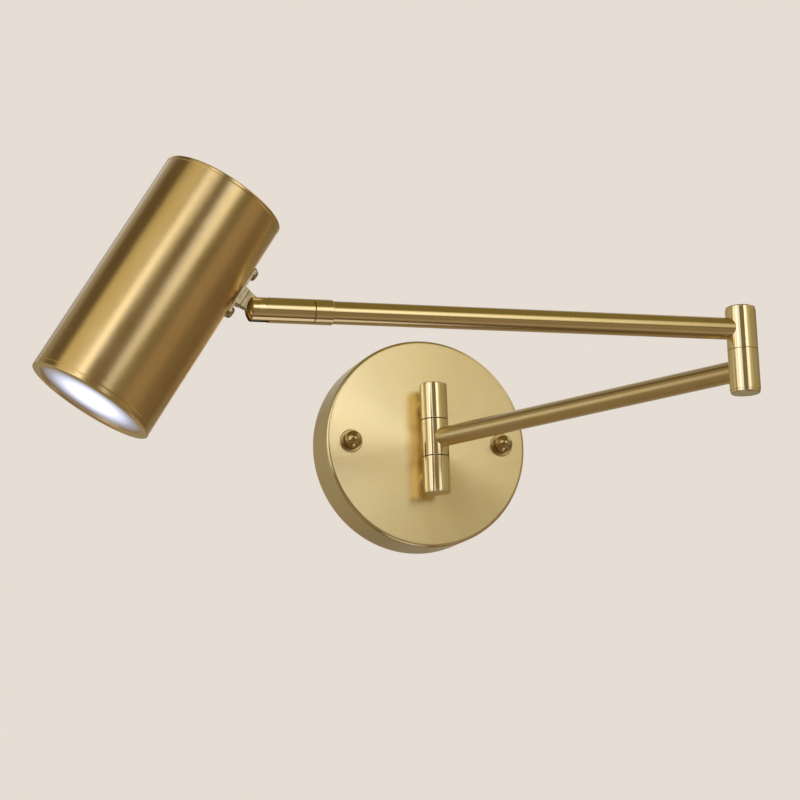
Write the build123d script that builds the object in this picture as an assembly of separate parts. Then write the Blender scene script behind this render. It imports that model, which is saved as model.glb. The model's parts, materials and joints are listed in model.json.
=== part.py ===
from build123d import *
import os
from math import cos, radians, sin, sqrt

os.makedirs("parts", exist_ok=True)

# Swing arm wall lamp: a round canopy, two hinged arms and a tubular LED head.
# The origin is the middle of the canopy's back at the wall, +Y goes into the wall.

# Canopy and wall bracket
canopy_diameter = 120.0
canopy_depth = 26.1
canopy_wall = 1.2
canopy_edge_radius = 1.8
bracket_length = 110.0
bracket_width = 18.0
bracket_thickness = 2.0
wall_slot_spacing = 60.0
wall_slot_length = 12.0
wall_slot_width = 5.0
wire_hole_radius = 6.0
ground_screw_offset = 15.0
ground_screw_radius = 1.7
ground_head_radius = 3.4
ground_head_height = 1.6
stud_spacing = 91.0
stud_radius = 2.0
stud_reach = 5.6
stud_hole_clearance = 0.3
washer_radius = 6.6
washer_thickness = 1.0
washer_round = 0.4
cap_nut_ball_radius = 5.0
cap_nut_neck_radius = 4.6
cap_nut_ball_height = 3.2

# Fixed half of the wall hinge
hinge_reach = 39.9
barrel_radius = 7.8
base_knuckle_height = 20.8
base_cap_rise = 1.1
base_seam_gap = 0.4
base_washer_thickness = 0.3
knuckle_chamfer = 0.12
seam_washer_inset = 0.4
post_radius = 4.2
post_tail_radius = 3.0
post_bore_radius = 1.6
post_tail_stickout = 1.0
post_hole_clearance = 0.2
post_plate_width = 18.0
post_plate_margin = 9.0
post_plate_thickness = 2.0
post_nut_radius = 5.6
post_nut_thickness = 4.0
pin_radius = 4.0
pin_bore_radius = 2.6
running_clearance = 0.05
end_cap_inset = 0.3
end_cap_round = 0.8
end_cap_plug_radius = 5.6
end_cap_plug_length = 2.0
lead_window_height = 5.0
lead_hole_radius = 1.8

# Wiring inside the canopy
terminal_width = 12.0
terminal_height = 20.0
terminal_depth = 11.0
terminal_screw_radius = 1.4
terminal_screw_depth = 4.0
terminal_screw_step_x = 6.0
terminal_screw_step_z = 10.0
lead_radius = 1.1
lead_bend_radius = 3.0
lead_pin_bend_radius = 1.4
lead_terminal_inset = 2.0
lead_end_gap = 0.5

# Lower and upper arm
lower_arm_length = 218.8
lower_arm_turn = -64.6
arm_tube_radius = 5.57
arm_tube_wall = 1.0
elbow_knuckle_height = 22.25
elbow_cap_rise = 1.7
elbow_seam_gap = 0.2
elbow_washer_thickness = 0.15
elbow_drop = 1.4
upper_arm_drop = 0.35
upper_arm_length = 250.5
upper_arm_turn = 178.57
cap_gap = 0.3

# Swivel at the end of the upper arm
sleeve_radius = 6.15
sleeve_length = 22.0
sleeve_chamber_radius = 5.2
sleeve_bearing_length = 9.5
sleeve_chamfer = 0.15
swivel_gap = 0.3
collar_length = 9.0
collar_wall = 3.0
spigot_radius = 4.0
spigot_bore_radius = 2.2
spigot_root = 4.0
spigot_tip = 0.5
swivel_nut_radius = 4.8
swivel_nut_thickness = 3.0
swivel_nut_gap = 0.3
fork_flat_half_height = 5.5
fork_throat = 4.0
fork_plug_length = 5.5
ear_round_radius = 8.5
ear_round_setback = 1.5
tilt_pin_radius = 2.0
tilt_pin_proud = 0.1
tongue_thickness = 4.0
tongue_clearance = 0.2
tongue_radius = 3.4
head_roll = -5.15

# Lamp head and its bracket
head_tilt = 32.3
head_radius = 31.2
head_wall = 1.5
head_above_pivot = 36.4
head_below_pivot = 81.9
pivot_stand_off = 12.5
bracket_plate_length = 26.5
bracket_plate_width = 10.0
bracket_plate_thickness = 1.0
bracket_plate_shift = 1.5
bracket_plate_corner = 1.5
tongue_root_width = 10.0
tongue_root_thickness = 6.4
tongue_root_height = 2.4
tongue_edge_round = 0.5
bracket_screw_spacing = 21.5
bracket_screw_radius = 1.5
bracket_screw_head_radius = 2.9
bracket_screw_head_height = 1.8
bracket_screw_dome_share = 0.85
bracket_screw_length = 6.0
bracket_nut_radius = 3.0
bracket_nut_thickness = 2.4
grommet_radius = 2.6
grommet_flange = 1.0
top_cap_thickness = 1.9
top_cap_skirt_length = 5.0
top_cap_skirt_wall = 1.2
top_cap_round = 0.6
head_seam_chamfer = 0.2
trim_height = 2.8
trim_opening_radius = 26.9
trim_lip = 1.2
trim_skirt_length = 6.0
trim_skirt_wall = 0.9
trim_round = 0.5
trim_opening_chamfer = 0.4
diffuser_clearance = 0.2
diffuser_thickness = 2.0
reflector_height = 24.0
reflector_throat_radius = 15.5
reflector_wall = 0.8
reflector_clearance = 0.3
board_radius = 17.0
board_thickness = 1.6
chip_ring_radius = 7.0
chip_count = 6
chip_size = 3.0
chip_height = 0.7
board_screw_ring_radius = 11.5
board_screw_count = 3
board_screw_radius = 1.2
board_screw_head_radius = 2.2
board_screw_head_height = 1.2
board_screw_length = 5.0
sink_base_thickness = 4.0
sink_fin_height = 16.0
sink_fin_thickness = 1.6
sink_fin_pitch = 6.5
sink_fin_count = 7
sink_fin_inset = 2.0
driver_pad_thickness = 1.0
driver_width = 26.0
driver_depth = 20.0
driver_height = 34.0
driver_round = 2.0

# Places and directions worked out from the sizes above
canopy_radius = canopy_diameter / 2
canopy_inside_depth = canopy_depth - canopy_wall
base_pitch = base_knuckle_height + base_seam_gap
base_half_height = base_pitch + base_knuckle_height / 2
post_depth = canopy_inside_depth - post_plate_thickness
elbow_upper_middle = -elbow_drop + elbow_knuckle_height + elbow_seam_gap
upper_arm_rise = elbow_upper_middle - upper_arm_drop
elbow_bottom = -elbow_drop - elbow_knuckle_height / 2
elbow_top = elbow_upper_middle + elbow_knuckle_height / 2
tube_inner_radius = arm_tube_radius - arm_tube_wall
moving_bore_radius = pin_radius + running_clearance
sleeve_end = upper_arm_length - fork_throat
sleeve_start = sleeve_end - sleeve_length
collar_end = sleeve_start - swivel_gap
collar_start = collar_end - collar_length
arm_tube_end = collar_end - collar_wall
bearing_end = sleeve_start + sleeve_bearing_length
swivel_nut_start = bearing_end + swivel_nut_gap
spigot_end = swivel_nut_start + swivel_nut_thickness + spigot_tip
pivot_from_axis = head_radius + pivot_stand_off
head_inner_radius = head_radius - head_wall
plate_outer_radius = head_radius + bracket_plate_thickness

BASE = (Align.CENTER, Align.CENTER, Align.MIN)
LAY_ALONG_X = Rot(0, 90, 0)
UP = Vector(0, 0, 1)


def level_direction(turn):
    return Vector(cos(radians(turn)), sin(radians(turn)), 0)


# Frames: local z leaves the wall, x runs along each arm, the head stands on its own axis
wall_frame = Plane(origin=(0, 0, 0), x_dir=(1, 0, 0), z_dir=(0, -1, 0))
lower_direction = level_direction(lower_arm_turn)
upper_direction = level_direction(upper_arm_turn)
base_hinge = Vector(0, -hinge_reach, 0)
elbow_point = base_hinge + lower_direction * lower_arm_length
lower_frame = Plane(origin=base_hinge, x_dir=lower_direction, z_dir=UP)
upper_frame = Plane(origin=elbow_point + UP * upper_arm_rise, x_dir=upper_direction, z_dir=UP)
tilt_pivot = upper_frame.origin + upper_direction * upper_arm_length
side_direction = UP.cross(upper_direction)
swivel_up = UP * cos(radians(head_roll)) - side_direction * sin(radians(head_roll))
swivel_frame = Plane(origin=tilt_pivot, x_dir=upper_direction, z_dir=swivel_up)
head_up = swivel_up * cos(radians(head_tilt)) - upper_direction * sin(radians(head_tilt))
away_from_pivot = upper_direction * cos(radians(head_tilt)) + swivel_up * sin(radians(head_tilt))
head_middle = tilt_pivot + away_from_pivot * pivot_from_axis
head_frame = Plane(origin=head_middle, x_dir=away_from_pivot * -1, z_dir=head_up)


def rod(radius, start, end):
    return Pos(0, 0, start) * Cylinder(radius, end - start, align=BASE)


def rod_along_x(radius, start, end):
    return Pos(start, 0, 0) * LAY_ALONG_X * Cylinder(radius, end - start, align=BASE)


def ring(outer, inner, start, end):
    return rod(outer, start, end) - rod(inner, start, end)


def ring_along_x(outer, inner, start, end):
    return rod_along_x(outer, start, end) - rod_along_x(inner, start, end)


def hexagon_nut(radius, bore, start, thickness):
    prism = extrude(RegularPolygon(radius, 6), thickness)
    return Pos(0, 0, start) * prism - rod(bore, start, start + thickness)


def swept_lead(points, radii):
    path = FilletPolyline(*points, radius=radii)
    start = path ^ 0
    return sweep(start * Circle(lead_radius), path=path)


def group(pieces):
    return Compound(children=[piece.solid() for piece in pieces])


# Wall side

def stud_places():
    return [Pos(-stud_spacing / 2, 0, 0), Pos(stud_spacing / 2, 0, 0)]


def post_places():
    return [Pos(0, base_pitch, 0), Pos(0, -base_pitch, 0)]


def wall_bracket():
    outline = RectangleRounded(bracket_length, bracket_width, bracket_width / 4)
    bar = extrude(outline, bracket_thickness)
    for place in stud_places():
        bar -= place * rod(stud_radius, 0, bracket_thickness)
    slot = extrude(SlotOverall(wall_slot_length, wall_slot_width), bracket_thickness)
    for side in (-1, 1):
        bar -= Pos(side * wall_slot_spacing / 2, 0, 0) * slot
    bar -= rod(wire_hole_radius, 0, bracket_thickness)
    bar -= Pos(-ground_screw_offset, 0, 0) * rod(ground_screw_radius, 0, bracket_thickness)
    return wall_frame * bar


def ground_screw():
    screw = rod(ground_screw_radius, 0, bracket_thickness)
    screw += rod(ground_head_radius, bracket_thickness, bracket_thickness + ground_head_height)
    cross = Box(ground_head_radius * 2, ground_screw_radius / 2, ground_head_height)
    screw -= Pos(0, 0, bracket_thickness + ground_head_height) * cross
    return wall_frame * Pos(-ground_screw_offset, 0, 0) * screw


def canopy():
    shell = rod(canopy_radius, 0, canopy_depth)
    shell = fillet(shell.edges().group_by(Axis.Z)[-1], canopy_edge_radius)
    hollow = rod(canopy_radius - canopy_wall, 0, canopy_inside_depth)
    inner_round = max(canopy_edge_radius - canopy_wall, canopy_wall / 4)
    hollow = fillet(hollow.edges().group_by(Axis.Z)[-1], inner_round)
    shell -= hollow
    for place in stud_places():
        shell -= place * rod(stud_radius + stud_hole_clearance, 0, canopy_depth)
    for place in post_places():
        shell -= place * rod(post_tail_radius + post_hole_clearance, 0, canopy_depth)
    return wall_frame * shell


def canopy_studs():
    stud = rod(stud_radius, 0, canopy_depth + washer_thickness + stud_reach)
    return group([wall_frame * place * stud for place in stud_places()])


def nut_washers():
    washer = rod(washer_radius, 0, washer_thickness)
    washer = fillet(washer.edges().group_by(Axis.Z)[-1], washer_round)
    washer -= rod(stud_radius + stud_hole_clearance, 0, washer_thickness)
    seat = Pos(0, 0, canopy_depth)
    return group([wall_frame * place * seat * washer for place in stud_places()])


def cap_nuts():
    nut = Pos(0, 0, cap_nut_ball_height) * Sphere(cap_nut_ball_radius)
    nut -= rod(washer_radius, -washer_radius, 0)
    nut += rod(cap_nut_neck_radius, 0, cap_nut_ball_height / 2)
    nut -= rod(stud_radius, 0, stud_reach)
    seat = Pos(0, 0, canopy_depth + washer_thickness)
    return group([wall_frame * place * seat * nut for place in stud_places()])


def post_plate():
    height = 2 * (base_pitch + post_plate_margin)
    outline = RectangleRounded(post_plate_width, height, post_plate_margin / 3)
    plate = extrude(outline, post_plate_thickness)
    for place in post_places():
        plate -= place * rod(post_tail_radius + post_hole_clearance, 0, post_plate_thickness)
    return wall_frame * Pos(0, 0, post_depth) * plate


def base_posts():
    tail_start = post_depth - post_nut_thickness - post_tail_stickout
    post = rod(post_tail_radius, tail_start, canopy_depth)
    post += rod(post_radius, canopy_depth, hinge_reach)
    post -= rod(post_bore_radius, tail_start, hinge_reach)
    barrel = lower_frame * rod(barrel_radius, -base_half_height, base_half_height)
    return group([wall_frame * place * post - barrel for place in post_places()])


def post_nuts():
    start = post_depth - post_nut_thickness
    nut = hexagon_nut(post_nut_radius, post_tail_radius, start, post_nut_thickness)
    return group([wall_frame * place * nut for place in post_places()])


def terminal_screw_places():
    steps_x = (-terminal_screw_step_x / 2, terminal_screw_step_x / 2)
    steps_z = (-terminal_screw_step_z / 2, terminal_screw_step_z / 2)
    return [Pos(x, z, post_depth - terminal_depth) for x in steps_x for z in steps_z]


def terminal_block():
    body = Box(terminal_width, terminal_height, terminal_depth, align=BASE)
    block = Pos(0, 0, post_depth - terminal_depth) * body
    for place in terminal_screw_places():
        block -= place * rod(terminal_screw_radius, 0, terminal_screw_depth)
    return wall_frame * block


def terminal_screws():
    head = rod(terminal_screw_radius, terminal_screw_depth / 2, terminal_screw_depth)
    return group([wall_frame * place * head for place in terminal_screw_places()])


def base_lead():
    start_depth = post_depth - terminal_depth + lead_terminal_inset
    points = [
        (0, -terminal_height / 2, start_depth),
        (0, -base_pitch, start_depth),
        (0, -base_pitch, hinge_reach),
        (0, -lead_window_height / 2, hinge_reach),
    ]
    return wall_frame * swept_lead(points, [lead_bend_radius, lead_pin_bend_radius])


# Knuckles, pins and washers of the two hinges

def knuckle(start, end, bore):
    body = rod(barrel_radius, start, end)
    body = chamfer(body.edges().filter_by(GeomType.CIRCLE), knuckle_chamfer)
    return body - rod(bore, start, end)


def capped_knuckle(height, cap_rise, bore):
    shoulder = height / 2 - cap_rise
    seat = rod(end_cap_plug_radius, shoulder - end_cap_plug_length, shoulder)
    return knuckle(-height / 2, shoulder, bore) - seat


def end_cap(rise):
    cap = rod(barrel_radius - end_cap_inset, 0, rise)
    cap = fillet(cap.edges().group_by(Axis.Z)[-1], min(end_cap_round, rise / 2))
    return cap + rod(end_cap_plug_radius, -end_cap_plug_length, 0)


def flipped(piece):
    return Rot(180, 0, 0) * piece


def lead_hole_along_x(reach):
    return rod_along_x(lead_hole_radius, 0, reach)


def base_knuckle_top():
    piece = capped_knuckle(base_knuckle_height, base_cap_rise, pin_radius)
    return lower_frame * Pos(0, 0, base_pitch) * piece


def base_knuckle_bottom():
    piece = capped_knuckle(base_knuckle_height, base_cap_rise, pin_radius)
    placed = Pos(0, -hinge_reach, -base_pitch) * flipped(piece)
    lead_way = wall_frame * Pos(0, -base_pitch, 0) * rod(post_bore_radius, canopy_depth, hinge_reach)
    return placed - lead_way


def base_knuckle_middle():
    half_height = base_knuckle_height / 2
    piece = knuckle(-half_height, half_height, moving_bore_radius)
    return lower_frame * (piece - lead_hole_along_x(barrel_radius))


def base_pivot_pin():
    end = base_half_height - base_cap_rise - end_cap_plug_length
    pin = ring(pin_radius, pin_bore_radius, -end, end)
    window = Pos(0, -pin_radius, 0) * Box(pin_radius * 2, pin_radius * 2, lead_window_height)
    pin -= window
    placed = Pos(0, -hinge_reach, 0) * pin
    lead_way = wall_frame * Pos(0, -base_pitch, 0) * rod(post_bore_radius, canopy_depth, hinge_reach)
    return placed - lead_way


def base_end_caps():
    seat = base_half_height - base_cap_rise
    top = lower_frame * Pos(0, 0, seat) * end_cap(base_cap_rise)
    bottom = lower_frame * Pos(0, 0, -seat) * flipped(end_cap(base_cap_rise))
    return group([top, bottom])


def seam_washer(inner, thickness):
    return ring(barrel_radius - seam_washer_inset, inner, 0, thickness)


def base_washers():
    washer = seam_washer(moving_bore_radius, base_washer_thickness)
    top = lower_frame * Pos(0, 0, base_knuckle_height / 2) * washer
    bottom = lower_frame * Pos(0, 0, -base_knuckle_height / 2) * flipped(washer)
    return group([top, bottom])


# Lower arm, up to the elbow

def lower_arm_tube():
    tube = ring_along_x(arm_tube_radius, tube_inner_radius, 0, lower_arm_length)
    tube -= rod(barrel_radius, -base_knuckle_height, base_knuckle_height)
    tube -= Pos(lower_arm_length, 0, 0) * rod(barrel_radius, -elbow_knuckle_height, elbow_knuckle_height)
    return lower_frame * tube


def at_elbow(piece):
    return lower_frame * Pos(lower_arm_length, 0, 0) * piece


def elbow_knuckle_lower():
    piece = capped_knuckle(elbow_knuckle_height, elbow_cap_rise, pin_radius)
    placed = Pos(0, 0, -elbow_drop) * flipped(piece)
    return at_elbow(placed - rod_along_x(lead_hole_radius, -barrel_radius, 0))


def elbow_pivot_pin():
    pin_bottom = elbow_bottom + elbow_cap_rise + end_cap_plug_length
    pin_top = elbow_top - elbow_cap_rise - end_cap_plug_length - cap_gap
    pin = ring(pin_radius, pin_bore_radius, pin_bottom, pin_top)
    pin -= rod_along_x(lead_hole_radius, -pin_radius, 0)
    window = Box(pin_radius * 2, pin_radius * 2, lead_window_height)
    pin -= Pos(-pin_radius, 0, upper_arm_rise) * window
    return at_elbow(pin)


def elbow_cap_bottom():
    return at_elbow(Pos(0, 0, elbow_bottom + elbow_cap_rise) * flipped(end_cap(elbow_cap_rise)))


def elbow_washer():
    washer = seam_washer(pin_radius, elbow_washer_thickness)
    return at_elbow(Pos(0, 0, -elbow_drop + elbow_knuckle_height / 2) * washer)


def lower_arm_lead():
    points = [
        (moving_bore_radius + lead_end_gap, 0, 0),
        (lower_arm_length, 0, 0),
        (lower_arm_length, 0, upper_arm_rise - lead_window_height / 2),
    ]
    return lower_frame * swept_lead(points, [lead_pin_bend_radius])


# Upper arm, up to the swivel

def elbow_knuckle_upper():
    piece = capped_knuckle(elbow_knuckle_height, elbow_cap_rise, moving_bore_radius)
    placed = Pos(0, 0, upper_arm_drop) * piece
    return upper_frame * (placed - lead_hole_along_x(barrel_radius))


def elbow_cap_top():
    seat = upper_arm_drop + elbow_knuckle_height / 2 - elbow_cap_rise
    return upper_frame * Pos(0, 0, seat) * end_cap(elbow_cap_rise)


def upper_arm_tube():
    tube = ring_along_x(arm_tube_radius, tube_inner_radius, 0, arm_tube_end)
    tube -= rod(barrel_radius, -elbow_knuckle_height, elbow_knuckle_height)
    return upper_frame * tube


def arm_end_collar():
    collar = rod_along_x(sleeve_radius, collar_start, collar_end)
    collar = chamfer(collar.edges().filter_by(GeomType.CIRCLE), sleeve_chamfer)
    collar -= rod_along_x(arm_tube_radius, collar_start, arm_tube_end)
    collar -= rod_along_x(spigot_radius, arm_tube_end, collar_end)
    return upper_frame * collar


def swivel_spigot():
    start = arm_tube_end - spigot_root
    return upper_frame * ring_along_x(spigot_radius, spigot_bore_radius, start, spigot_end)


def swivel_nut():
    end = swivel_nut_start + swivel_nut_thickness
    return upper_frame * ring_along_x(swivel_nut_radius, spigot_radius, swivel_nut_start, end)


def upper_arm_lead():
    lead = rod_along_x(lead_radius, moving_bore_radius + lead_end_gap, spigot_end)
    return upper_frame * lead


# Swivel sleeve and fork, which roll about the upper arm

def swivel_sleeve():
    sleeve = rod_along_x(sleeve_radius, sleeve_start, sleeve_end)
    sleeve = chamfer(sleeve.edges().filter_by(GeomType.CIRCLE).sort_by(Axis.X)[0], sleeve_chamfer)
    sleeve -= rod_along_x(spigot_radius + running_clearance, sleeve_start, bearing_end)
    sleeve -= rod_along_x(sleeve_chamber_radius, bearing_end, sleeve_end)
    return swivel_frame * Pos(-upper_arm_length, 0, 0) * sleeve


def swivel_fork():
    reach = ear_round_radius + ear_round_setback
    ears = rod_along_x(sleeve_radius, -fork_throat, reach)
    blunt = Pos(-ear_round_setback, 0, 0) * Sphere(ear_round_radius)
    blunt += rod_along_x(ear_round_radius, -fork_throat - ear_round_radius, -ear_round_setback)
    ears &= blunt
    ears &= Box(2 * reach, 2 * reach, 2 * fork_flat_half_height)
    ears += rod_along_x(sleeve_chamber_radius, -fork_throat - fork_plug_length, -fork_throat)
    slot_width = tongue_thickness + 2 * tongue_clearance
    slot_length = fork_throat + reach
    slot = Box(slot_length, slot_width, 2 * reach, align=(Align.MIN, Align.CENTER, Align.CENTER))
    ears -= Pos(-fork_throat, 0, 0) * slot
    ears -= rod_along_x(post_bore_radius, -fork_throat - fork_plug_length, -fork_throat)
    ears -= Rot(90, 0, 0) * rod(tilt_pin_radius, -reach, reach)
    return swivel_frame * ears


def tilt_pin():
    end_radius = sleeve_radius + tilt_pin_proud
    pin = Rot(90, 0, 0) * rod(tilt_pin_radius, -end_radius, end_radius)
    pin &= rod_along_x(end_radius, -tilt_pin_radius * 2, tilt_pin_radius * 2)
    return swivel_frame * pin


# Bracket on the side of the head

def bracket_screw_places():
    half = bracket_screw_spacing / 2
    return [Pos(0, 0, bracket_plate_shift + half), Pos(0, 0, bracket_plate_shift - half)]


def softened(prism):
    levels = prism.edges().group_by(Axis.Z)
    return fillet(levels[0] + levels[-1], tongue_edge_round)


def head_bracket():
    half_length = bracket_plate_length / 2
    reach = plate_outer_radius + tongue_radius
    outward = (Align.MIN, Align.CENTER, Align.CENTER)
    block = Box(reach, bracket_plate_width, bracket_plate_length, align=outward)
    block = fillet(block.edges().filter_by(Axis.X), bracket_plate_corner)
    shell = ring(plate_outer_radius, head_radius, -half_length, half_length)
    plate = Pos(0, 0, bracket_plate_shift) * (shell & block)
    half_root = tongue_root_width / 2
    outline = Polygon(
        (head_radius, half_root),
        (pivot_from_axis, tongue_radius),
        (pivot_from_axis, -tongue_radius),
        (head_radius, -half_root),
        align=None,
    )
    outline += Pos(pivot_from_axis, 0) * Circle(tongue_radius)
    root_reach = plate_outer_radius + tongue_root_height
    boss = extrude(outline, tongue_root_thickness / 2, both=True)
    boss &= Box(2 * root_reach, tongue_root_width, tongue_root_thickness)
    tongue = softened(extrude(outline, tongue_thickness / 2, both=True)) + softened(boss)
    tongue = Rot(90, 0, 0) * tongue - rod(head_radius, -head_below_pivot, head_above_pivot)
    bracket = plate + tongue
    hole = Rot(90, 0, 0) * rod(tilt_pin_radius + running_clearance, -tongue_thickness, tongue_thickness)
    bracket -= Pos(pivot_from_axis, 0, 0) * hole
    for place in bracket_screw_places():
        bracket -= place * rod_along_x(bracket_screw_radius, 0, reach)
    return head_frame * bracket


def bracket_screws():
    head_start = head_radius + bracket_plate_thickness / 2
    head_end = plate_outer_radius + bracket_screw_head_height
    head = rod_along_x(bracket_screw_head_radius, head_start, head_end)
    dome_round = bracket_screw_head_height * bracket_screw_dome_share
    head = fillet(head.edges().filter_by(GeomType.CIRCLE).sort_by(Axis.X)[-1], dome_round)
    head -= rod(plate_outer_radius, -bracket_screw_spacing, bracket_screw_spacing)
    shank_end = plate_outer_radius + bracket_screw_head_height / 2
    shank = rod_along_x(bracket_screw_radius, plate_outer_radius - bracket_screw_length, shank_end)
    return group([head_frame * place * (head + shank) for place in bracket_screw_places()])


def bracket_nuts():
    seat = sqrt(head_inner_radius ** 2 - bracket_nut_radius ** 2)
    nut = ring_along_x(bracket_nut_radius, bracket_screw_radius, seat - bracket_nut_thickness, seat)
    return group([head_frame * place * nut for place in bracket_screw_places()])


def lead_grommet():
    hole_end = head_radius
    grommet = rod_along_x(grommet_radius, head_inner_radius - grommet_flange, hole_end)
    grommet -= rod_along_x(lead_radius, head_inner_radius - grommet_flange, hole_end)
    grommet &= rod(head_radius, -grommet_radius, grommet_radius)
    return head_frame * grommet


# Lamp head

tube_top = head_above_pivot - top_cap_thickness
tube_bottom = -head_below_pivot + trim_height
diffuser_bottom = -head_below_pivot + trim_lip
reflector_bottom = diffuser_bottom + diffuser_thickness
reflector_top = reflector_bottom + reflector_height
board_bottom = reflector_top
sink_bottom = board_bottom + board_thickness
fin_bottom = sink_bottom + sink_base_thickness
fin_top = fin_bottom + sink_fin_height


def shade_tube():
    tube = rod(head_radius, tube_bottom, tube_top)
    tube = chamfer(tube.edges().filter_by(GeomType.CIRCLE), head_seam_chamfer)
    tube -= rod(head_inner_radius, tube_bottom, tube_top)
    for place in bracket_screw_places():
        tube -= place * rod_along_x(bracket_screw_radius, 0, head_radius)
    tube -= rod_along_x(grommet_radius, 0, head_radius)
    return head_frame * tube


def top_cap():
    disc = rod(head_radius, tube_top, head_above_pivot)
    disc = fillet(disc.edges().group_by(Axis.Z)[-1], top_cap_round)
    disc = chamfer(disc.edges().group_by(Axis.Z)[0], head_seam_chamfer)
    skirt_inner = head_inner_radius - top_cap_skirt_wall
    skirt = ring(head_inner_radius, skirt_inner, tube_top - top_cap_skirt_length, tube_top)
    return head_frame * (disc + skirt)


def trim_ring():
    rim = rod(head_radius, -head_below_pivot, tube_bottom)
    rim = fillet(rim.edges().group_by(Axis.Z)[0], trim_round)
    rim = chamfer(rim.edges().group_by(Axis.Z)[-1], head_seam_chamfer)
    skirt_top = tube_bottom + trim_skirt_length
    rim += rod(head_inner_radius, tube_bottom, skirt_top)
    rim -= rod(head_inner_radius - trim_skirt_wall, diffuser_bottom, skirt_top)
    opening = rod(trim_opening_radius, -head_below_pivot, diffuser_bottom)
    flare = trim_opening_radius + trim_opening_chamfer
    mouth = Cone(flare, trim_opening_radius, trim_opening_chamfer, align=BASE)
    opening += Pos(0, 0, -head_below_pivot) * mouth
    return head_frame * (rim - opening)


def diffuser():
    radius = head_inner_radius - trim_skirt_wall - diffuser_clearance
    return head_frame * rod(radius, diffuser_bottom, reflector_bottom)


def reflector():
    mouth = head_inner_radius - trim_skirt_wall - reflector_clearance
    outer = Cone(mouth, reflector_throat_radius, reflector_height, align=BASE)
    inner_mouth = mouth - reflector_wall
    inner_throat = reflector_throat_radius - reflector_wall
    inner = Cone(inner_mouth, inner_throat, reflector_height, align=BASE)
    return head_frame * Pos(0, 0, reflector_bottom) * (outer - inner)


def ring_of_places(radius, count, height):
    return [Rot(0, 0, 360 * step / count) * Pos(radius, 0, height) for step in range(count)]


def led_board():
    board = rod(board_radius, board_bottom, sink_bottom)
    for place in ring_of_places(board_screw_ring_radius, board_screw_count, 0):
        board -= place * rod(board_screw_radius, board_bottom, sink_bottom)
    return head_frame * board


def led_chips():
    chip = Box(chip_size, chip_size, chip_height, align=BASE)
    places = ring_of_places(chip_ring_radius, chip_count, board_bottom - chip_height)
    return group([head_frame * place * chip for place in places])


def board_screws():
    screw = rod(board_screw_radius, 0, board_screw_length)
    screw += rod(board_screw_head_radius, -board_screw_head_height, 0)
    places = ring_of_places(board_screw_ring_radius, board_screw_count, board_bottom)
    return group([head_frame * place * screw for place in places])


def heat_sink():
    sink = rod(head_inner_radius, sink_bottom, fin_bottom)
    fin = Box(2 * head_inner_radius, sink_fin_thickness, sink_fin_height, align=BASE)
    middle = (sink_fin_count - 1) / 2
    fins = [Pos(0, (step - middle) * sink_fin_pitch, fin_bottom) * fin for step in range(sink_fin_count)]
    trimmed = rod(head_inner_radius - sink_fin_inset, fin_bottom, fin_top)
    for blade in fins:
        sink += blade & trimmed
    screw_end = board_bottom + board_screw_length
    for place in ring_of_places(board_screw_ring_radius, board_screw_count, 0):
        sink -= place * rod(board_screw_radius, sink_bottom, screw_end)
    return head_frame * sink


def driver_pad():
    pad = Box(driver_width, driver_depth, driver_pad_thickness, align=BASE)
    return head_frame * Pos(0, 0, fin_top) * pad


def led_driver():
    body = Box(driver_width, driver_depth, driver_height, align=BASE)
    body = fillet(body.edges().filter_by(Axis.Z), driver_round)
    return head_frame * Pos(0, 0, fin_top + driver_pad_thickness) * body


def head_lead():
    driver_top = fin_top + driver_pad_thickness + driver_height
    exit_height = driver_top - lead_bend_radius - lead_radius
    points = [
        (driver_width / 2, 0, exit_height),
        ((driver_width / 2 + head_inner_radius) / 2, 0, exit_height),
        ((driver_width / 2 + head_inner_radius) / 2, 0, 0),
        (head_inner_radius, 0, 0),
    ]
    return head_frame * swept_lead(points, [lead_pin_bend_radius, lead_pin_bend_radius])


PIECES = [
    wall_bracket, ground_screw, canopy, canopy_studs, nut_washers, cap_nuts,
    post_plate, base_posts, post_nuts, terminal_block, terminal_screws, base_lead,
    base_knuckle_top, base_knuckle_bottom, base_pivot_pin, base_end_caps,
    base_knuckle_middle, base_washers, lower_arm_tube, elbow_knuckle_lower,
    elbow_pivot_pin, elbow_cap_bottom, elbow_washer, lower_arm_lead,
    elbow_knuckle_upper, elbow_cap_top, upper_arm_tube, arm_end_collar,
    swivel_spigot, swivel_nut, upper_arm_lead,
    swivel_sleeve, swivel_fork, tilt_pin,
    head_bracket, bracket_screws, bracket_nuts, lead_grommet, shade_tube, top_cap,
    trim_ring, diffuser, reflector, led_board, led_chips, board_screws, heat_sink,
    driver_pad, led_driver, head_lead,
]

for make in PIECES:
    export_step(make(), f"parts/{make.__name__}.step")

print("elbow axis", elbow_point)
print("tilt pivot", tilt_pivot, "tilt axis", swivel_frame.y_dir * -1)
print("upper arm direction", upper_direction)
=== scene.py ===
import json
import math
import bpy
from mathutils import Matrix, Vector


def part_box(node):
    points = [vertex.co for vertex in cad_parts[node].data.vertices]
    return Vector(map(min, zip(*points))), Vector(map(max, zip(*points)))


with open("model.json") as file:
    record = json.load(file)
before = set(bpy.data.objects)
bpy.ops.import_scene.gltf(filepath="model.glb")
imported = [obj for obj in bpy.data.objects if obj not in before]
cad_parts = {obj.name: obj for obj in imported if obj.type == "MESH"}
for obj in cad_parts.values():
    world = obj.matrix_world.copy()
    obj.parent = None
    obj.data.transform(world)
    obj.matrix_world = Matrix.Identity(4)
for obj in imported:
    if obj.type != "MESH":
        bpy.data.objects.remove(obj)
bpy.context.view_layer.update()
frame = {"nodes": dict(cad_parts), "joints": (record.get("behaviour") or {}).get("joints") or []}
nodes = frame["nodes"]
hinges = {joint["name"]: joint for joint in frame["joints"]}


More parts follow.
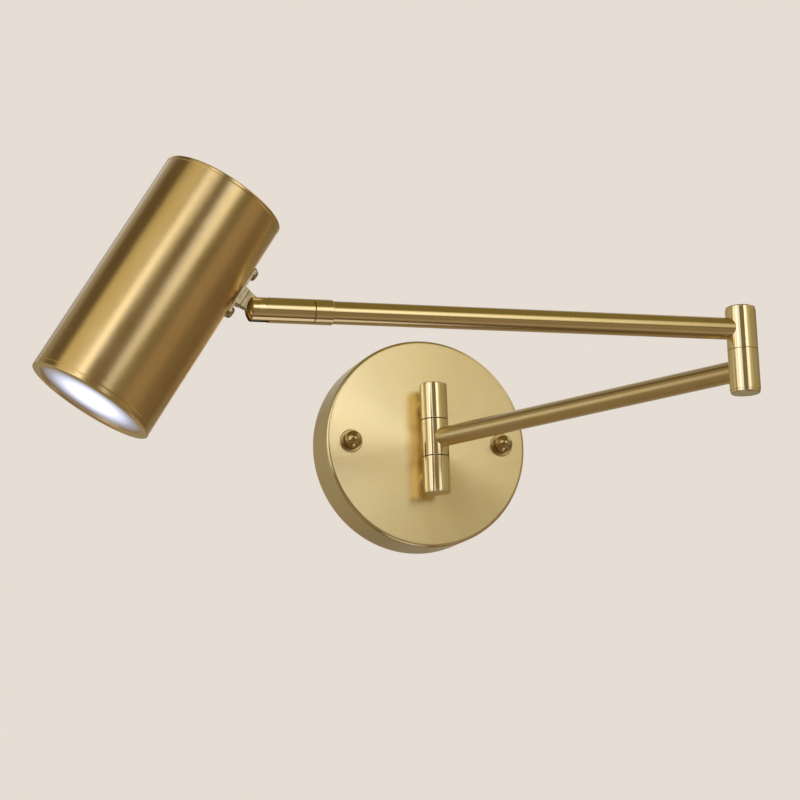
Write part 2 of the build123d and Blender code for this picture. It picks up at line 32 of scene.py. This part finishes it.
# Camera. It stands to the left of the lamp and below it, and looks up at it with a long lens.
# Its place, turn and lens were fitted to the canopy's rims, the hinge barrels and the arms.
CAMERA_PLACE = (-0.46362, -1.29383, -0.25478)
CAMERA_TURN = (101.7464, 2.0657, -19.0459)
CAMERA_LENS = 108.2
bpy.ops.object.camera_add(location=CAMERA_PLACE, rotation=[math.radians(turn) for turn in CAMERA_TURN])
camera = bpy.context.object
camera.data.sensor_width = 36
camera.data.lens = CAMERA_LENS
bpy.context.scene.camera = camera


# Canopy. A shallow pan spun from brass sheet and scoured in rings on the lathe, then lacquered.
# Its front carries the hinge posts, and two studs through it draw it against the wall.
BRASS = (0.94, 0.82, 0.55)
OLD_BRASS = (0.91, 0.77, 0.48)
SPECKLE_LOW = 0.3
SPECKLE_HIGH = 0.7
RING_WANDER = 2.0
ACROSS_THE_RINGS = 0.25


def piece_finish(name):
    """A new material, its shader and the piece's own place, where its patterns are read."""
    material = bpy.data.materials.new(name)
    material.use_nodes = True
    tree = material.node_tree
    shader = tree.nodes["Principled BSDF"]
    place = tree.nodes.new("ShaderNodeTexCoord").outputs["Object"]
    return material, tree, shader, place


def stepped_colour(tree, amount, stops):
    """A colour that passes through the given stops as the amount goes from 0 to 1."""
    ramp = tree.nodes.new("ShaderNodeValToRGB")
    while len(ramp.color_ramp.elements) < len(stops):
        ramp.color_ramp.elements.new(0.5)
    for stop, (position, colour) in zip(ramp.color_ramp.elements, stops.items()):
        stop.position = position
        stop.color = (*colour, 1)
    tree.links.new(amount, ramp.inputs["Fac"])
    return ramp.outputs["Color"]


def mixed_colour(tree, amount, low, high):
    """A colour that runs from low to high over the range that a speckle keeps to."""
    return stepped_colour(tree, amount, {SPECKLE_LOW: low, SPECKLE_HIGH: high})


def number(tree, operation, *values):
    """One step of arithmetic on up to three values, each a socket or a plain number."""
    step = tree.nodes.new("ShaderNodeMath")
    step.operation = operation
    for slot, value in zip(step.inputs, values):
        if isinstance(value, (int, float)):
            slot.default_value = value
        else:
            tree.links.new(value, slot)
    return step.outputs["Value"]


def speckle(tree, place, grain, detail=3.0, spin=None):
    """Noise whose patches are about one grain across, in metres."""
    noise = tree.nodes.new("ShaderNodeTexNoise")
    noise.inputs["Scale"].default_value = 1 / grain
    noise.inputs["Detail"].default_value = detail
    tree.links.new(place, noise.inputs["Vector"])
    if spin is not None:
        noise.noise_dimensions = "4D"
        tree.links.new(spin, noise.inputs["W"])
    return noise.outputs["Fac"]


def lathe_turn(axis):
    """The turn that brings a piece's own axis upright."""
    return Vector(axis).to_track_quat("Z", "Y").to_euler()


def on_the_lathe(tree, place, centre, axis):
    """The place as seen from the piece's own axis: across it, up from it, and along it."""
    chuck = tree.nodes.new("ShaderNodeMapping")
    chuck.vector_type = "TEXTURE"
    chuck.inputs["Location"].default_value = centre
    chuck.inputs["Rotation"].default_value = lathe_turn(axis)
    tree.links.new(place, chuck.inputs["Vector"])
    split = tree.nodes.new("ShaderNodeSeparateXYZ")
    tree.links.new(chuck.outputs["Vector"], split.inputs["Vector"])
    return split.outputs


def out_from_axis(tree, across, up):
    """The distance from the axis, in metres."""
    square = number(tree, "MULTIPLY_ADD", across, across, number(tree, "MULTIPLY", up, up))
    return number(tree, "SQRT", square)


def way_round(tree, across, up, axis):
    """The direction in which the turning surface passed under the tool."""
    join = tree.nodes.new("ShaderNodeCombineXYZ")
    tree.links.new(number(tree, "MULTIPLY", up, -1.0), join.inputs["X"])
    tree.links.new(across, join.inputs["Y"])
    unturn = tree.nodes.new("ShaderNodeMapping")
    unturn.vector_type = "VECTOR"
    unturn.inputs["Rotation"].default_value = lathe_turn(axis)
    tree.links.new(join.outputs["Vector"], unturn.inputs["Vector"])
    carried = tree.nodes.new("ShaderNodeVectorTransform")
    carried.vector_type = "VECTOR"
    carried.convert_from = "OBJECT"
    carried.convert_to = "WORLD"
    tree.links.new(unturn.outputs["Vector"], carried.inputs["Vector"])
    return carried.outputs["Vector"]


def varied(tree, amount, spread, middle):
    """A number that strays from its middle as a speckle does, by half the spread at most."""
    return number(tree, "MULTIPLY_ADD", number(tree, "SUBTRACT", amount, 0.5), spread, middle)


def turned_brass(name, centre, axis, roughness, streak=0.0, line_pitch=0.0003, line_depth=0.00001,
                 drift=0.05, tones=(OLD_BRASS, BRASS), belly=0.0, patch=0.018):
    """Brass that was scoured or polished while it turned on its axis, with its fine lines round it.
    The belly is how steeply a face falls off from its middle, for each metre out."""
    material, tree, shader, place = piece_finish(name)
    across, up, along = on_the_lathe(tree, place, centre, axis)
    radius = out_from_axis(tree, across, up)
    round_x = number(tree, "DIVIDE", across, radius)
    round_y = number(tree, "DIVIDE", up, radius)
    lines = tree.nodes.new("ShaderNodeCombineXYZ")
    tree.links.new(radius, lines.inputs["X"])
    tree.links.new(along, lines.inputs["Y"])
    tree.links.new(number(tree, "MULTIPLY", round_x, line_pitch * RING_WANDER), lines.inputs["Z"])
    spin = number(tree, "MULTIPLY", round_y, RING_WANDER)
    grooves = speckle(tree, lines.outputs["Vector"], line_pitch, 4.0, spin)
    patches = speckle(tree, place, patch, 4.0)
    tree.links.new(mixed_colour(tree, patches, *tones), shader.inputs["Base Color"])
    handled = varied(tree, patches, drift, roughness)
    tree.links.new(varied(tree, grooves, drift, handled), shader.inputs["Roughness"])
    fall = number(tree, "MULTIPLY", number(tree, "MULTIPLY", radius, radius), -belly / 2)
    bump = tree.nodes.new("ShaderNodeBump")
    bump.inputs["Distance"].default_value = 1.0
    tree.links.new(number(tree, "MULTIPLY_ADD", grooves, line_depth, fall), bump.inputs["Height"])
    tree.links.new(bump.outputs["Normal"], shader.inputs["Normal"])
    tree.links.new(way_round(tree, across, up, axis), shader.inputs["Tangent"])
    shader.inputs["Metallic"].default_value = 1.0
    shader.inputs["Anisotropic"].default_value = streak
    shader.inputs["Anisotropic Rotation"].default_value = ACROSS_THE_RINGS
    return material


def dress(material, *names):
    """Gives the named pieces their finish."""
    for name in names:
        mesh = nodes[name].data
        mesh.materials.clear()
        mesh.materials.append(material)


WALL_POINT = Vector((0, 0, 0))
OUT_OF_WALL = Vector((0, -1, 0))
canopy_brass = turned_brass(
    "canopy_brass", WALL_POINT, OUT_OF_WALL, 0.21,
    streak=0.94, line_depth=0.000016, drift=0.06, belly=0.75,
)
dress(canopy_brass, "canopy")


# Wall bracket, studs and backing plate. Pressed steel, zinc plated, hidden behind the canopy.
# The studs are swaged into the bracket, and nuts hold the plate and the hinge posts from inside.
ZINC = ((0.50, 0.51, 0.52), (0.66, 0.66, 0.64))


def mixed_number(tree, amount, low, high, start=SPECKLE_LOW, end=SPECKLE_HIGH):
    """A number that runs from low to high as the amount goes from start to end."""
    span = tree.nodes.new("ShaderNodeMapRange")
    span.inputs["From Min"].default_value = start
    span.inputs["From Max"].default_value = end
    span.inputs["To Min"].default_value = low
    span.inputs["To Max"].default_value = high
    tree.links.new(amount, span.inputs["Value"])
    return span.outputs["Result"]


def raised(tree, shader, height, depth):
    """Lets a speckle stand out of the surface by the depth, in metres."""
    bump = tree.nodes.new("ShaderNodeBump")
    bump.inputs["Distance"].default_value = depth
    tree.links.new(height, bump.inputs["Height"])
    tree.links.new(bump.outputs["Normal"], shader.inputs["Normal"])


def zinc_steel(name):
    """Zinc plate, with its faint spangle and a fine roughness."""
    material, tree, shader, place = piece_finish(name)
    spangle = speckle(tree, place, 0.004, 5.0)
    tree.links.new(mixed_colour(tree, spangle, *ZINC), shader.inputs["Base Color"])
    tree.links.new(mixed_number(tree, spangle, 0.28, 0.46), shader.inputs["Roughness"])
    raised(tree, shader, speckle(tree, place, 0.0008), 0.00002)
    shader.inputs["Metallic"].default_value = 1.0
    return material


dress(zinc_steel("plated_steel"), "wall_bracket", "canopy_studs", "post_plate", "post_nuts")


# Ground screw. Steel with a green passivated coat, so that an electrician finds the earth point.
# It is threaded into the bracket beside its middle.
EARTH_GREEN = ((0.03, 0.20, 0.06), (0.07, 0.34, 0.11))


def green_coat(name):
    """A thin green coat that lets the steel's shine through."""
    material, tree, shader, place = piece_finish(name)
    coat = speckle(tree, place, 0.0015, 4.0)
    tree.links.new(mixed_colour(tree, coat, *EARTH_GREEN), shader.inputs["Base Color"])
    tree.links.new(mixed_number(tree, coat, 0.25, 0.42), shader.inputs["Roughness"])
    shader.inputs["Metallic"].default_value = 0.8
    return material


dress(green_coat("ground_green"), "ground_screw")


# Cap nuts and their washers. Ball-headed brass nuts, turned and polished, one on each stud.
# They hold the canopy's front against the studs on its level line.
# The nuts' and washers' brass is painted darker than polished brass. This is painted shade for the
# dark room that the balls mirror and for the shade under the balls.
SHADE_DARKENED_BRASS = ((0.54, 0.41, 0.21), (0.64, 0.50, 0.28))
UPRIGHT = Vector((0, 0, 1))
nut_brass = turned_brass(
    "nut_brass", WALL_POINT, UPRIGHT, 0.04, line_depth=0.000001, tones=SHADE_DARKENED_BRASS,
)
dress(nut_brass, "cap_nuts")
dress(turned_brass("nut_washer_brass", WALL_POINT, OUT_OF_WALL, 0.2, tones=SHADE_DARKENED_BRASS), "nut_washers")


# Terminal block. Moulded white nylon, where the house wiring meets the lamp's lead.
# It hangs on the backing plate, and its clamp screws face the wall.
NYLON = ((0.74, 0.74, 0.70), (0.82, 0.82, 0.79))


def moulded_plastic(name, tones, roughness=0.45):
    """Plastic or rubber with the fine skin of its mould and a slow change of tone."""
    material, tree, shader, place = piece_finish(name)
    skin = speckle(tree, place, 0.0012, 4.0)
    clouds = speckle(tree, place, 0.012)
    tree.links.new(mixed_colour(tree, clouds, *tones), shader.inputs["Base Color"])
    sheen = mixed_number(tree, skin, roughness - 0.06, roughness + 0.06)
    tree.links.new(sheen, shader.inputs["Roughness"])
    raised(tree, shader, skin, 0.00003)
    return material


dress(moulded_plastic("nylon_white", NYLON), "terminal_block")
dress(zinc_steel("clamp_steel"), "terminal_screws")


# Leads. Black flex in a smooth sleeve, run inside the canopy, both arms and the head.
# Each length stops short of the next hinge, and the loops that join them there aren't made.
BLACK_SLEEVE = ((0.010, 0.010, 0.010), (0.022, 0.022, 0.022))
lead_sleeve = moulded_plastic("black_sleeve", BLACK_SLEEVE, 0.38)
dress(lead_sleeve, "base_lead", "lower_arm_lead", "upper_arm_lead", "head_lead")


# Wall hinge. A barrel of three brass knuckles on a hollow pin, with black washers in its seams.
# Two short posts hold its outer knuckles off the canopy, and pressed caps close its ends.
BASE_HINGE = Vector(hinges["base_swing"]["pos_m"])
MIRROR_BRASS = ((0.93, 0.80, 0.50), (0.95, 0.84, 0.56))
WASHER_BLACK = ((0.012, 0.010, 0.009), (0.03, 0.026, 0.022))
barrel_brass = turned_brass(
    "barrel_brass", BASE_HINGE, UPRIGHT, 0.12,
    line_depth=0.000002, line_pitch=0.0005, tones=MIRROR_BRASS,
)
dress(barrel_brass, "base_knuckle_top", "base_knuckle_middle", "base_knuckle_bottom", "base_end_caps")
dress(turned_brass("post_brass", WALL_POINT, OUT_OF_WALL, 0.12), "base_posts")
dress(turned_brass("base_pin_brass", BASE_HINGE, UPRIGHT, 0.25), "base_pivot_pin")
dress(moulded_plastic("washer_black", WASHER_BLACK), "base_washers")


# Lower arm. A drawn brass tube, polished round while it turned.
# It is brazed into the middle knuckle of the wall hinge and the lower knuckle of the elbow.
def middle_of(name):
    """The middle of a piece's box."""
    low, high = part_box(name)
    return (low + high) / 2


ELBOW = Vector(hinges["elbow_swing"]["pos_m"])
LOWER_WAY = (ELBOW - BASE_HINGE).normalized()
LOWER_CENTRE = middle_of("lower_arm_tube")
ARM_BRASS = ((0.84, 0.68, 0.40), (0.88, 0.73, 0.45))
lower_arm_brass = turned_brass(
    "lower_arm_brass", LOWER_CENTRE, LOWER_WAY, 0.16, streak=0.3, tones=ARM_BRASS,
)
dress(lower_arm_brass, "lower_arm_tube")


# Elbow. Two knuckles on a hollow pin, with a washer in the seam and a cap on each end.
# The knuckles are turned from brass rod and polished like the barrel on the wall.
elbow_brass = turned_brass(
    "elbow_brass", ELBOW, UPRIGHT, 0.11,
    line_depth=0.000002, line_pitch=0.0005, tones=MIRROR_BRASS,
)
dress(elbow_brass, "elbow_knuckle_lower", "elbow_knuckle_upper", "elbow_cap_bottom", "elbow_cap_top")
dress(turned_brass("elbow_pin_brass", ELBOW, UPRIGHT, 0.25), "elbow_pivot_pin", "elbow_washer")


# Upper arm. The same tube, a little longer, with a turned collar soldered on its far end.
# A threaded spigot stands in the collar, and its nut holds the swivel sleeve on.
TILT_PIVOT = Vector(hinges["head_tilt"]["pos_m"])
UPPER_WAY = (middle_of("swivel_sleeve") - middle_of("arm_end_collar")).normalized()
upper_arm_brass = turned_brass(
    "upper_arm_brass", TILT_PIVOT, UPPER_WAY, 0.14, streak=0.3, tones=ARM_BRASS,
)
dress(upper_arm_brass, "upper_arm_tube", "arm_end_collar")
dress(turned_brass("spigot_brass", TILT_PIVOT, UPPER_WAY, 0.25), "swivel_spigot", "swivel_nut")


# Swivel. A polished sleeve that turns on the spigot, with a slotted fork pressed into its end.
# A flush pin crosses the fork and carries the lamp head.
PIN_WAY = Vector(hinges["head_tilt"]["axis"])
sleeve_brass = turned_brass(
    "sleeve_brass", TILT_PIVOT, UPPER_WAY, 0.08, line_depth=0.000002, tones=ARM_BRASS,
)
dress(sleeve_brass, "swivel_sleeve", "swivel_fork")
dress(turned_brass("tilt_pin_brass", TILT_PIVOT, PIN_WAY, 0.12), "tilt_pin")


# Head bracket. A small curved brass plate with a tongue that stands in the fork.
# Two dome-headed screws through the tube hold it, with steel nuts inside.
# The bracket's brass is painted darker than the rest, as painted shade that dims the soft boxes it
# mirrors. Its tone also wanders at random in small patches.
SHADE_DARKENED_BRACKET_BRASS = ((0.36, 0.29, 0.17), (0.66, 0.57, 0.40))
bracket_brass = turned_brass(
    "bracket_brass", TILT_PIVOT, PIN_WAY, 0.22, drift=0.1, tones=SHADE_DARKENED_BRACKET_BRASS, patch=0.0025,
)
dress(bracket_brass, "head_bracket", "bracket_screws")
dress(zinc_steel("bracket_nut_steel"), "bracket_nuts", "board_screws")


# Lead grommet. Soft black rubber round the lead where it enters the tube.
# It is pushed into the tube's hole and keeps the hole's edge off the lead.
GROMMET_RUBBER = ((0.012, 0.012, 0.012), (0.03, 0.03, 0.03))
dress(moulded_plastic("grommet_rubber", GROMMET_RUBBER, 0.55), "lead_grommet")


# Head tube. A drawn brass tube in a satin lacquer, scoured round while it turned.
# The cap sits in its top end and the trim ring in its mouth.
HEAD_MOUTH = middle_of("diffuser")
HEAD_WAY = (middle_of("top_cap") - HEAD_MOUTH).normalized()
HEAD_BRASS = ((0.86, 0.66, 0.35), (0.90, 0.71, 0.40))
head_brass = turned_brass(
    "head_brass", HEAD_MOUTH, HEAD_WAY, 0.19,
    streak=0.2, line_depth=0.000012, drift=0.08, tones=HEAD_BRASS,
)
dress(head_brass, "shade_tube", "top_cap", "trim_ring")


# Diffuser. An opal plastic disc behind the trim ring, lit from behind by the chips.
# It is brightest over the middle and cools to a bluish tint near its edge.
GLOW_RADIUS = 0.0270
OPAL = ((0.50, 0.50, 0.52), (0.56, 0.56, 0.58))
GLOW_STEPS = {
    0.45: (0.95, 0.97, 1.0),
    0.64: (0.52, 0.58, 0.80),
    0.80: (0.24, 0.25, 0.34),
    1.0: (0.05, 0.04, 0.03),
}


def lit_opal(name):
    """Opal plastic that glows in steps from its middle to its edge."""
    material, tree, shader, place = piece_finish(name)
    across, up = on_the_lathe(tree, place, HEAD_MOUTH, HEAD_WAY)[:2]
    share_of_radius = number(tree, "DIVIDE", out_from_axis(tree, across, up), GLOW_RADIUS)
    grain = speckle(tree, place, 0.0015)
    step = varied(tree, grain, 0.08, share_of_radius)
    tree.links.new(stepped_colour(tree, step, GLOW_STEPS), shader.inputs["Emission Color"])
    tree.links.new(mixed_colour(tree, grain, *OPAL), shader.inputs["Base Color"])
    tree.links.new(mixed_number(tree, grain, 0.25, 0.35), shader.inputs["Roughness"])
    shader.inputs["Emission Strength"].default_value = 1.0
    return material


dress(lit_opal("opal_lit"), "diffuser")


# Light engine. A white reflector cup, an aluminium board with six phosphor chips, a finned sink,
# a soft pad and the driver. All of it is held inside the tube, behind the diffuser.
ALUMINIUM = ((0.58, 0.58, 0.60), (0.72, 0.72, 0.74))
REFLECTOR_WHITE = ((0.80, 0.80, 0.80), (0.86, 0.86, 0.86))
PHOSPHOR = ((0.85, 0.62, 0.12), (0.93, 0.74, 0.2))
PAD_BLUE = ((0.30, 0.36, 0.50), (0.38, 0.44, 0.58))
DRIVER_GREY = ((0.035, 0.035, 0.038), (0.06, 0.06, 0.065))


def cast_aluminium(name):
    """Bare aluminium with the fine skin of its casting."""
    material, tree, shader, place = piece_finish(name)
    skin = speckle(tree, place, 0.0007, 4.0)
    tree.links.new(mixed_colour(tree, skin, *ALUMINIUM), shader.inputs["Base Color"])
    tree.links.new(mixed_number(tree, skin, 0.34, 0.5), shader.inputs["Roughness"])
    shader.inputs["Metallic"].default_value = 1.0
    return material


dress(moulded_plastic("reflector_white", REFLECTOR_WHITE, 0.2), "reflector")
dress(cast_aluminium("board_aluminium"), "led_board", "heat_sink")
dress(moulded_plastic("chip_phosphor", PHOSPHOR, 0.3), "led_chips")
dress(moulded_plastic("thermal_pad", PAD_BLUE, 0.6), "driver_pad")
dress(moulded_plastic("driver_case", DRIVER_GREY), "led_driver")


# Studio floor. A pale round sheet under the lamp that takes its soft shadow. Lit paint alone would
# be darker than the backdrop, so a share of the backdrop's tone is added where a camera or a
# mirror looks at it, and the sheet fades out at its rim.
FLOOR_PAINT = (0.47, 0.45, 0.44)
FLOOR_WEAVE = tuple(0.97 * share for share in FLOOR_PAINT)
FLOOR_GLOW = (0.60, 0.565, 0.56)
FLOOR_RADIUS = 0.25
FLOOR_CENTRE = Vector((0, -0.15, -0.75))
FADE_START = 0.7 * FLOOR_RADIUS
FADE_END = 0.98 * FLOOR_RADIUS


def fading_paint(name):
    """Matt floor paint that turns clear towards the sheet's rim."""
    material, tree, shader, place = piece_finish(name)
    across, up = on_the_lathe(tree, place, FLOOR_CENTRE, UPRIGHT)[:2]
    weave = speckle(tree, place, 0.004)
    tree.links.new(mixed_colour(tree, weave, FLOOR_WEAVE, FLOOR_PAINT), shader.inputs["Base Color"])
    shader.inputs["Roughness"].default_value = 0.9
    rays = tree.nodes.new("ShaderNodeLightPath").outputs
    looked_at = number(tree, "ADD", rays["Is Camera Ray"], rays["Is Glossy Ray"])
    looked_at = number(tree, "ADD", looked_at, rays["Is Transmission Ray"])
    shader.inputs["Emission Color"].default_value = (*FLOOR_GLOW, 1)
    tree.links.new(looked_at, shader.inputs["Emission Strength"])
    clear = tree.nodes.new("ShaderNodeBsdfTransparent")
    fade = tree.nodes.new("ShaderNodeMixShader")
    radius = out_from_axis(tree, across, up)
    tree.links.new(mixed_number(tree, radius, 0.0, 1.0, FADE_START, FADE_END), fade.inputs["Fac"])
    tree.links.new(shader.outputs["BSDF"], fade.inputs[1])
    tree.links.new(clear.outputs["BSDF"], fade.inputs[2])
    tree.links.new(fade.outputs["Shader"], tree.nodes["Material Output"].inputs["Surface"])
    return material


bpy.ops.object.select_all(action="DESELECT")
bpy.ops.mesh.primitive_circle_add(
    vertices=96, radius=FLOOR_RADIUS, fill_type="NGON", location=FLOOR_CENTRE,
)
bpy.ops.object.transform_apply(location=True, rotation=True, scale=True)
floor = bpy.context.object
floor.name = "studio_floor"
floor.data.materials.append(fading_paint("floor_paint"))


# Backdrop. A pale warm tone all round, which the camera sees past the lamp.
# The metal mirrors it through the room's opening, straight behind the lamp.
BACKDROP = (0.7913, 0.7230, 0.6584)
world = bpy.data.worlds.new("pale_studio")
bpy.context.scene.world = world
world.use_nodes = True
backdrop = world.node_tree.nodes["Background"]
backdrop.inputs["Color"].default_value = (*BACKDROP, 1)
backdrop.inputs["Strength"].default_value = 1.0


# Room. The unlit side of the studio with the pale and dark cards that stand in it, which the
# brass mirrors. It is open only behind the lamp, where the metal's edges mirror the backdrop.
ROOM_RADIUS = 4.0
OPENING_ANGLE = 14.0
CAMERA_AHEAD = camera.matrix_basis.to_quaternion() @ Vector((0, 0, -1))

# The walls' tones by their heading, in degrees from straight out of the wall towards +X.
WALL_TONES = {
    -150: (0.32, 0.27, 0.17),
    -123: (0.38, 0.31, 0.18),
    -98: (0.30, 0.23, 0.13),
    -24: (0.12, 0.095, 0.055),
    0: (0.12, 0.095, 0.055),
    27: (0.28, 0.23, 0.12),
    45: (0.34, 0.28, 0.155),
    80: (0.32, 0.255, 0.14),
    112: (0.22, 0.17, 0.10),
    170: (0.28, 0.25, 0.19),
}

# The bands above and below the walls: where each starts and is full, as shares of the room's
# radius, and its tone.
BANDS = {
    "low_wall": (-0.30, -0.50, (0.24, 0.18, 0.10)),
    "ground": (-0.80, -0.94, (0.09, 0.055, 0.02)),
    "ceiling": (0.38, 0.58, (0.20, 0.155, 0.05)),
}

# The cards: heading, height, width, height of the card and softness, all in degrees, and tone.
CARDS = {
    "tan_on_the_ground": (28, -48, 50, 16, 8, (0.34, 0.27, 0.19)),
    "tan_low_right": (52, -15, 38, 14, 6, (0.30, 0.21, 0.12)),
    "dark_low_right": (94, -17, 52, 14, 9, (0.15, 0.10, 0.05)),
    "tan_low_ahead": (19, -18, 22, 14, 5, (0.26, 0.20, 0.12)),
    "brown_between_boxes": (-17, 8, 20, 60, 4, (0.20, 0.15, 0.09)),
    "dark_over_gap": (-5, 24, 18, 14, 5, (0.14, 0.10, 0.055)),
    "grey_high_back_left": (-150, 46, 50, 26, 8, (0.30, 0.26, 0.20)),
    "dark_high_left": (-108, 46, 36, 14, 6, (0.10, 0.07, 0.04)),
    "gold_over_left_box": (-63, 39, 34, 18, 4, (0.60, 0.50, 0.29)),
    "white_high_ahead": (-26, 30, 26, 12, 2, (0.95, 0.88, 0.74)),
    "gold_beside_left_box": (-83, 14, 10, 34, 4, (0.58, 0.50, 0.33)),
    "pale_far_left": (-105, 1, 16, 24, 5, (0.60, 0.56, 0.44)),
    "pale_behind": (176, 36, 46, 18, 8, (0.60, 0.58, 0.60)),
    "grey_high_behind": (150, 50, 24, 14, 8, (0.40, 0.38, 0.36)),
    "grey_low_behind": (158, -26, 18, 14, 6, (0.34, 0.30, 0.25)),
    "gold_beside_front_box": (29, 20, 24, 30, 6, (0.48, 0.40, 0.24)),
    "dark_under_gold": (31, -5, 15, 12, 4, (0.15, 0.11, 0.06)),
    "bright_by_front_box": (17.5, 17, 11, 29, 4, (0.95, 0.87, 0.64)),
    "pale_high_right": (100, 40, 60, 26, 8, (0.75, 0.70, 0.60)),
}


def way_to(heading, height):
    """The direction at a heading from straight out of the wall, and at a height in degrees."""
    level = math.cos(math.radians(height))
    heading = math.radians(heading)
    rise = math.sin(math.radians(height))
    return Vector((math.sin(heading) * level, -math.cos(heading) * level, rise))


def facing(heading, height):
    """The turn of something that stands at that direction and faces the lamp."""
    return way_to(heading, height).to_track_quat("Z", "Y").to_euler()


def blended(tree, amount, low, high):
    """A colour between two, the second of them a plain colour."""
    mix = tree.nodes.new("ShaderNodeMix")
    mix.data_type = "RGBA"
    tree.links.new(amount, mix.inputs["Factor"])
    tree.links.new(low, mix.inputs["A"])
    mix.inputs["B"].default_value = (*high, 1)
    return mix.outputs["Result"]


def card(tree, place, below, heading, height, wide, tall, soft, colour):
    """A card on the room's wall, over the colour below it."""
    easel = tree.nodes.new("ShaderNodeMapping")
    easel.vector_type = "TEXTURE"
    easel.inputs["Rotation"].default_value = facing(heading, height)
    tree.links.new(place, easel.inputs["Vector"])
    split = tree.nodes.new("ShaderNodeSeparateXYZ")
    tree.links.new(easel.outputs["Vector"], split.inputs["Vector"])
    right, up, ahead = split.outputs
    cover = number(tree, "GREATER_THAN", ahead, 0.0)
    for offset, spread in ((right, wide / 2), (up, tall / 2)):
        edge = tree.nodes.new("ShaderNodeMapRange")
        edge.interpolation_type = "SMOOTHSTEP"
        edge.inputs["From Min"].default_value = math.tan(math.radians(spread + soft))
        edge.inputs["From Max"].default_value = math.tan(math.radians(spread - soft))
        slope = number(tree, "ABSOLUTE", number(tree, "DIVIDE", offset, ahead))
        tree.links.new(slope, edge.inputs["Value"])
        cover = number(tree, "MULTIPLY", cover, edge.outputs["Result"])
    return blended(tree, cover, below, colour)


def painted_walls(name):
    """The room's paint, which glows by itself: the walls, then the bands, then the cards."""
    material = bpy.data.materials.new(name)
    material.use_nodes = True
    tree = material.node_tree
    tree.nodes.remove(tree.nodes["Principled BSDF"])
    place = tree.nodes.new("ShaderNodeTexCoord").outputs["Object"]
    split = tree.nodes.new("ShaderNodeSeparateXYZ")
    tree.links.new(place, split.inputs["Vector"])
    right, into_wall, rise = split.outputs
    heading = number(tree, "ARCTAN2", right, number(tree, "MULTIPLY", into_wall, -1.0))
    share_of_turn = number(tree, "MULTIPLY_ADD", heading, 0.5 / math.pi, 0.5)
    wall_steps = {turn / 360 + 0.5: colour for turn, colour in WALL_TONES.items()}
    paint = stepped_colour(tree, share_of_turn, wall_steps)
    height = number(tree, "DIVIDE", rise, ROOM_RADIUS)
    for start, full, colour in BANDS.values():
        paint = blended(tree, mixed_number(tree, height, 0.0, 1.0, start, full), paint, colour)
    for card_values in CARDS.values():
        paint = card(tree, place, paint, *card_values)
    glow = tree.nodes.new("ShaderNodeEmission")
    tree.links.new(paint, glow.inputs["Color"])
    tree.links.new(glow.outputs["Emission"], tree.nodes["Material Output"].inputs["Surface"])
    return material


bpy.ops.object.select_all(action="DESELECT")
bpy.ops.mesh.primitive_uv_sphere_add(segments=64, ring_count=32, radius=ROOM_RADIUS)
room = bpy.context.object
room.name = "studio_room"
room.visible_camera = False
bpy.ops.object.mode_set(mode="EDIT")
bpy.ops.mesh.select_all(action="SELECT")
opening_plane = CAMERA_AHEAD * ROOM_RADIUS * math.cos(math.radians(OPENING_ANGLE))
bpy.ops.mesh.bisect(plane_co=opening_plane, plane_no=CAMERA_AHEAD, clear_outer=True)
bpy.ops.object.mode_set(mode="OBJECT")
room.data.materials.append(painted_walls("room_paint"))


# Lamps. Two soft boxes in front of the wall, a wide one to the left and a narrow one ahead.
# Each has the bright core of its bulb a little nearer, as a lamp of its own.
def soft_box(name, heading, height, distance, wide, tall, brightness):
    """A soft box that faces the wall lamp, its sides in degrees as seen from there."""
    bpy.ops.object.light_add(type="AREA", location=way_to(heading, height) * distance)
    lamp = bpy.context.object
    lamp.name = name
    lamp.rotation_euler = facing(heading, height)
    lamp.data.shape = "RECTANGLE"
    lamp.data.size = 2 * distance * math.tan(math.radians(wide / 2))
    lamp.data.size_y = 2 * distance * math.tan(math.radians(tall / 2))
    lamp.data.energy = brightness * lamp.data.size * lamp.data.size_y * math.pi
    lamp.visible_camera = False


soft_box("left_box", heading=-55, height=11, distance=3.0, wide=48, tall=38, brightness=0.78)
soft_box("left_bulb", heading=-52, height=12, distance=2.9, wide=9, tall=12, brightness=0.9)
soft_box("front_box", heading=7.5, height=12, distance=3.0, wide=16, tall=25, brightness=0.66)
soft_box("front_bulb", heading=6, height=16, distance=2.9, wide=6, tall=8, brightness=1.3)

bpy.context.scene.view_settings.view_transform = "Standard"
